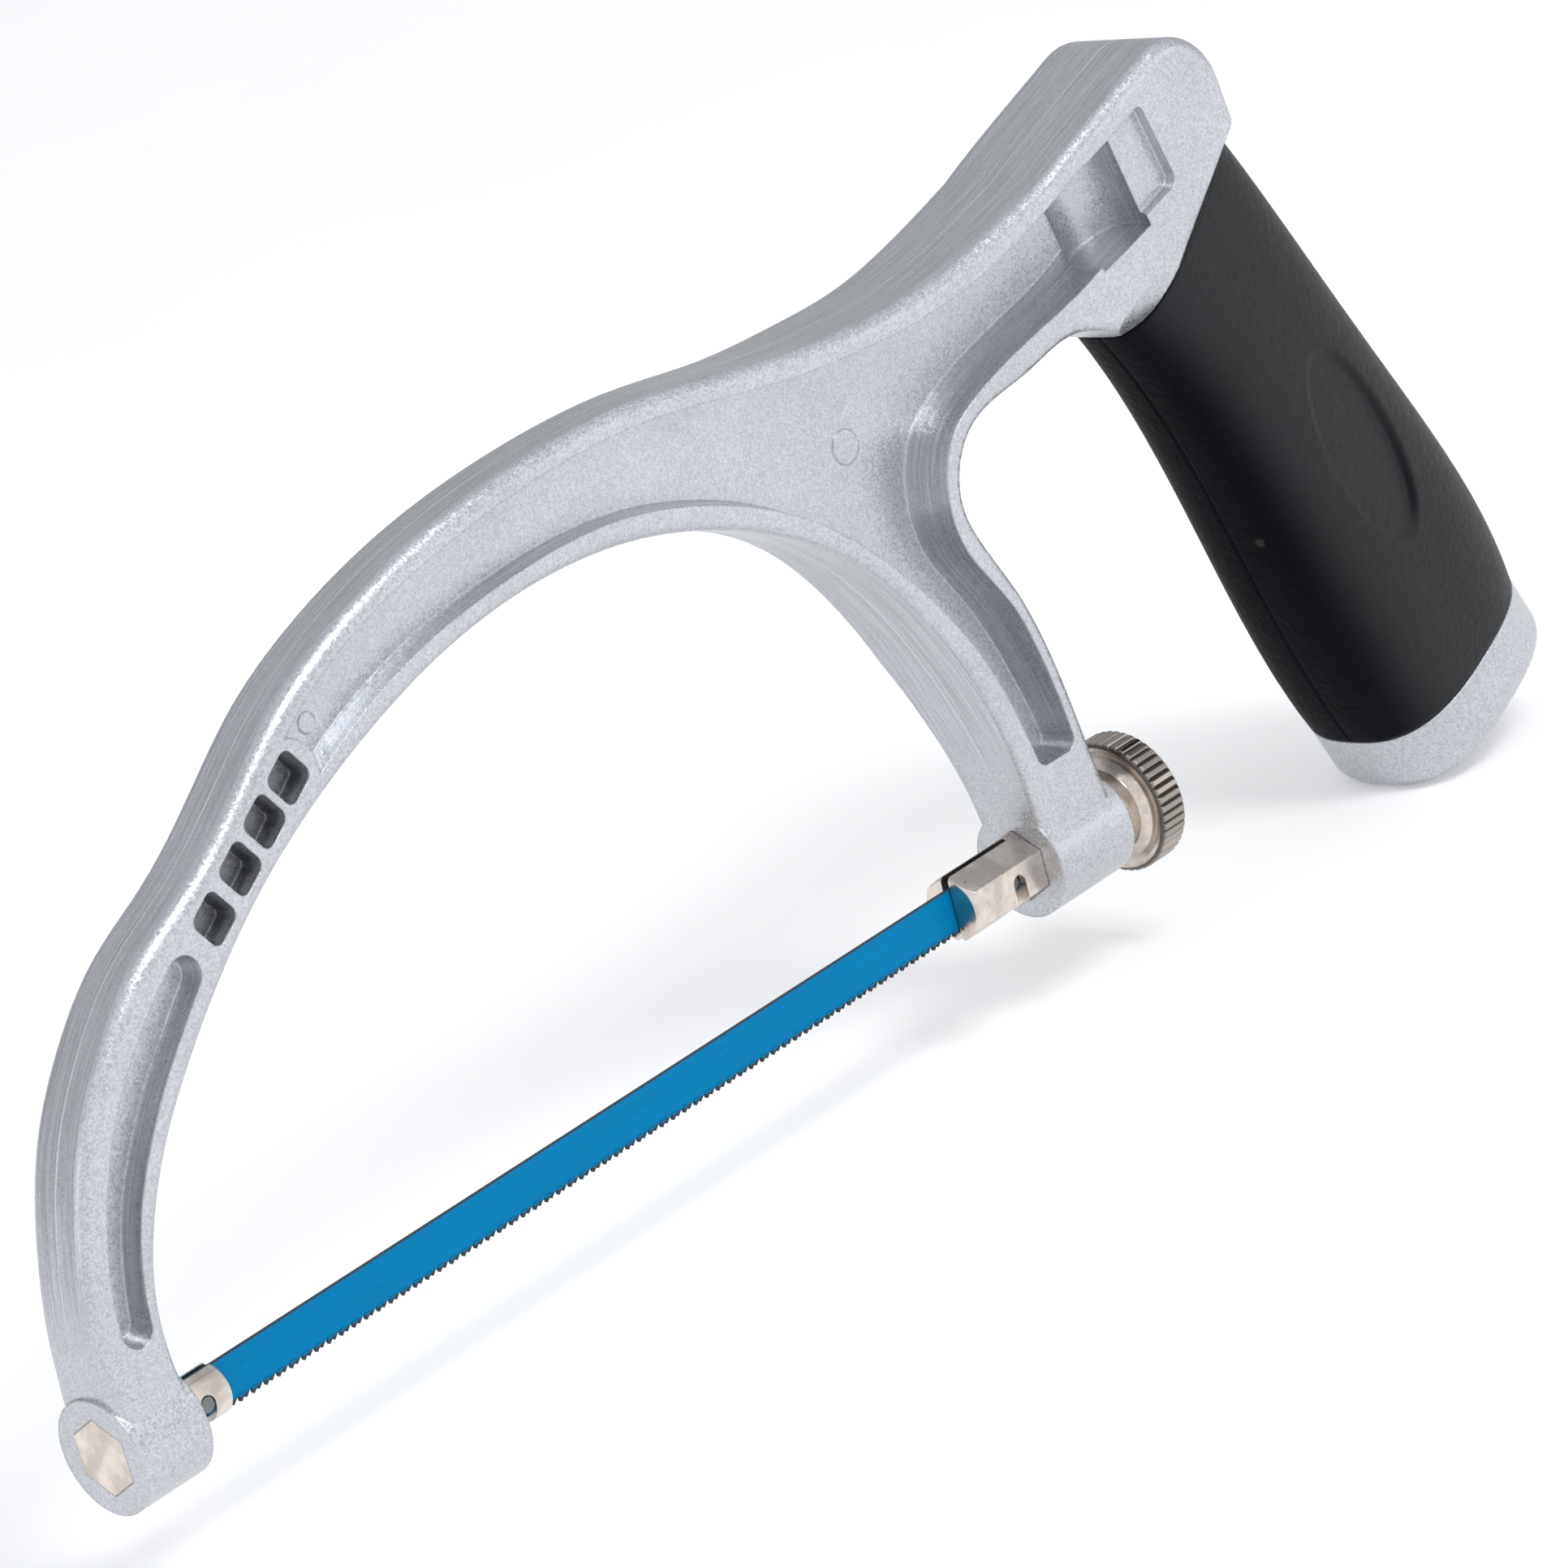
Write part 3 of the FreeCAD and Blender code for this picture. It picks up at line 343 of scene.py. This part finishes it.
dress("frame", casting_material("casting_paint", pockets=True))
dress("end_cap", casting_material("cap_paint"))
nickel = holder_material()
dress("front_blade_holder", nickel)
dress("rear_blade_holder", nickel)
dress("tension_nut", nut_material())
dress("blade", blade_material())
bare = steel_material("bare_steel", 0.14, 0.26)
dress("blade_pin_front", bare)
dress("blade_pin_rear", bare)
dress("end_cap_screw", steel_material("zinc_screw", 0.42, 0.60))


# ---------------------------------------------------------------- grip

# The planes where the grip meets the head of the frame and the end cap, front edge then rear edge.
GRIP_TOP = (Vector((206.2, 0, 59.5)) * MM, Vector((232.2, 0, 81.5)) * MM)
GRIP_FOOT = (Vector((235.6, 0, -12.0)) * MM, Vector((267.6, 0, 2.2)) * MM)
GRIP_ROWS = 260
GRIP_COLUMNS = 320
GRIP_SMOOTHINGS = 3
END_MARGIN = 0.004
RAY_STEP = 0.01 * MM
MOST_WALLS = 8
THINNEST_WALL = 0.9
ACROSS = Vector((0, 1, 0))

# The plain oval sunk into each side.
OVAL_MIDDLE = Vector((238.0, 0, 31.8)) * MM
OVAL_ALONG = Vector((0.285, 0, -0.958)).normalized()
OVAL_LENGTH = 16.3 * MM
OVAL_WIDTH = 7.0 * MM
OVAL_DEPTH = 0.60 * MM
OVAL_WALL = 0.85 * MM

CREASE_WIDTH = 0.30 * MM
CREASE_DEPTH = 0.22 * MM
END_ROUNDING = 0.45 * MM


def smooth_step(value, low, high):
    share = min(max((value - low) / (high - low), 0.0), 1.0)
    return share * share * (3 - 2 * share)


def grip_ray(share, turn):
    """A point on the grip's own line, and a direction out of it in the cross-section there."""
    front = GRIP_TOP[0].lerp(GRIP_FOOT[0], share)
    rear = GRIP_TOP[1].lerp(GRIP_FOOT[1], share)
    outward = (rear - front).normalized() * math.cos(turn) + ACROSS * math.sin(turn)
    return (front + rear) / 2, outward


def wall_distances(tree, share, turn):
    """How far out the hole's wall and the outside lie."""
    middle, outward = grip_ray(min(max(share, END_MARGIN), 1 - END_MARGIN), turn)
    found = []
    reach = 0.0
    while len(found) < MOST_WALLS:
        hit = tree.ray_cast(middle + outward * reach, outward)
        if hit[0] is None:
            break
        reach += hit[3] + RAY_STEP
        found.append(reach)
    return (found[0], found[-1]) if len(found) > 1 else (None, found[-1] if found else None)


def grip_distances(tree):
    """How far out the outside and the hole's wall lie over the grid; a missed ray takes the row before."""
    outside, inside = [], []
    for row in range(GRIP_ROWS + 1):
        share = row / GRIP_ROWS
        turns = [2 * math.pi * column / GRIP_COLUMNS for column in range(GRIP_COLUMNS)]
        found = [wall_distances(tree, share, turn) for turn in turns]
        outside.append([far or outside[-1][column] for column, (near, far) in enumerate(found)])
        inside.append([near or outside[-1][column] * 0.6 for column, (near, far) in enumerate(found)])
    return outside, inside


def smoothed(grid):
    """Each distance averaged with its four neighbours."""
    rows = len(grid)
    result = []
    for row in range(rows):
        above, below = grid[max(row - 1, 0)], grid[min(row + 1, rows - 1)]
        own = grid[row]
        result.append([(above[c] + below[c] + 2 * own[c] + own[c - 1] + own[(c + 1) % len(own)]) / 6
                       for c in range(len(own))])
    return result


def sunk(point, share, turn, grip_length):
    """How far the outside is sunk at a point: the oval, the crease down the front and the rounded ends."""
    offset = point - OVAL_MIDDLE
    along = offset.dot(OVAL_ALONG)
    across = offset.x * OVAL_ALONG.z - offset.z * OVAL_ALONG.x
    size = math.hypot(along / OVAL_LENGTH, across / OVAL_WIDTH)
    edge = (1 - size) * OVAL_WIDTH
    depth = OVAL_DEPTH * (1.15 - across / OVAL_WIDTH) * smooth_step(edge, 0, OVAL_WALL)
    if math.cos(turn) < 0:
        depth += CREASE_DEPTH * (1 - smooth_step(abs(point.y), 0, CREASE_WIDTH))
    to_end = min(share, 1 - share) * grip_length
    if to_end < END_ROUNDING:
        slack = END_ROUNDING - to_end
        depth += END_ROUNDING - math.sqrt(max(END_ROUNDING ** 2 - slack ** 2, 0.0))
    return depth


def make_grip():
    """The rubber sleeve: the CAD sleeve's own outline, with the moulded detail sunk into it."""
    source = nodes["grip_sleeve"]
    places = [source.matrix_world @ vertex.co for vertex in source.data.vertices]
    tree = BVHTree.FromPolygons(places, [tuple(face.vertices) for face in source.data.polygons])
    outside, inside = grip_distances(tree)
    for _ in range(GRIP_SMOOTHINGS):
        outside = smoothed(outside)
    length = (GRIP_TOP[0].lerp(GRIP_TOP[1], 0.5) - GRIP_FOOT[0].lerp(GRIP_FOOT[1], 0.5)).length
    points = []
    for row in range(GRIP_ROWS + 1):
        share = row / GRIP_ROWS
        for column in range(GRIP_COLUMNS):
            turn = 2 * math.pi * column / GRIP_COLUMNS
            middle, outward = grip_ray(share, turn)
            far = outside[row][column]
            far -= sunk(middle + outward * far, share, turn, length)
            points.append(middle + outward * far)
    first_inside = len(points)
    for row in (0, GRIP_ROWS):
        for column in range(GRIP_COLUMNS):
            middle, outward = grip_ray(row / GRIP_ROWS, 2 * math.pi * column / GRIP_COLUMNS)
            points.append(middle + outward * min(inside[row][column], outside[row][column] * THINNEST_WALL))
    faces = []
    last = GRIP_ROWS * GRIP_COLUMNS
    for column in range(GRIP_COLUMNS):
        after = (column + 1) % GRIP_COLUMNS
        for row in range(GRIP_ROWS):
            here, below = row * GRIP_COLUMNS, (row + 1) * GRIP_COLUMNS
            faces.append((here + column, here + after, below + after, below + column))
        top, foot = first_inside, first_inside + GRIP_COLUMNS
        faces.append((column, top + column, top + after, after))
        faces.append((last + column, last + after, foot + after, foot + column))
        faces.append((top + column, foot + column, foot + after, top + after))
    data = bpy.data.meshes.new("grip")
    data.from_pydata(points, [], faces)
    data.validate()
    for face in data.polygons:
        face.use_smooth = True
    grip = bpy.data.objects.new("grip", data)
    bpy.context.scene.collection.objects.link(grip)
    data.materials.append(rubber_material())
    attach(grip, "saw_frame")
    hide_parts("grip_sleeve")


make_grip()


# ---------------------------------------------------------------- stage

FLOOR_REACH = 4.0
FLOOR_GAP = 0.1 * MM
FLOOR_GLOW = 0.21


def make_floor():
    reach = FLOOR_REACH
    data = bpy.data.meshes.new("floor")
    low = cad_box[0][2] - FLOOR_GAP
    corners = [(-reach, -reach, low), (reach, -reach, low), (reach, reach, low), (-reach, reach, low)]
    data.from_pydata(corners, [], [(0, 1, 2, 3)])
    floor = bpy.data.objects.new("floor", data)
    bpy.context.scene.collection.objects.link(floor)
    s = Shader("floor", Roughness=0.9)
    s.bsdf.inputs["Specular IOR Level"].default_value = 0.1
    s.bsdf.inputs["Emission Color"].default_value = (1, 1, 1, 1)
    s.bsdf.inputs["Emission Strength"].default_value = FLOOR_GLOW
    data.materials.append(s.finish(s.mix(s.noise(12, 2), grey(0.86), grey(0.90))))


def soft_light(name, place, size, power):
    data = bpy.data.lights.new(name, "AREA")
    data.shape = "DISK"
    data.size = size
    data.energy = power
    light = bpy.data.objects.new(name, data)
    light.location = place
    light.rotation_mode = "QUATERNION"
    light.rotation_quaternion = (Vector(place) - VIEW_TARGET).to_track_quat("Z", "Y")
    bpy.context.scene.collection.objects.link(light)


SKY_DARK = 0.48
SKY_LIGHT = 1.10


def make_world():
    """Plain studio surroundings: lighter in front of the saw, darker above and behind it."""
    world = bpy.data.worlds.new("studio")
    world.use_nodes = True
    tree = world.node_tree
    place = tree.nodes.new("ShaderNodeTexCoord").outputs["Generated"]
    along = tree.nodes.new("ShaderNodeVectorMath")
    along.operation = "DOT_PRODUCT"
    along.inputs[1].default_value = (-0.30, -0.80, 0.15)
    tree.links.new(place, along.inputs[0])
    span = tree.nodes.new("ShaderNodeMapRange")
    span.inputs["From Min"].default_value = -0.9
    span.inputs["From Max"].default_value = 0.9
    span.inputs["To Min"].default_value = SKY_DARK
    span.inputs["To Max"].default_value = SKY_LIGHT
    tree.links.new(along.outputs["Value"], span.inputs["Value"])
    background = tree.nodes["Background"]
    background.inputs["Color"].default_value = (0.95, 0.97, 1.0, 1)
    tree.links.new(span.outputs["Result"], background.inputs["Strength"])
    bpy.context.scene.world = world


make_camera()
make_floor()
make_world()
soft_light("key", (0.13, -0.62, 0.86), 0.34, 3.6)
soft_light("left", (-0.95, 0.10, 0.35), 0.5, 0.6)
soft_light("right", (0.95, -0.75, 0.20), 0.4, 0.4)
bpy.context.scene.view_settings.view_transform = "Standard"
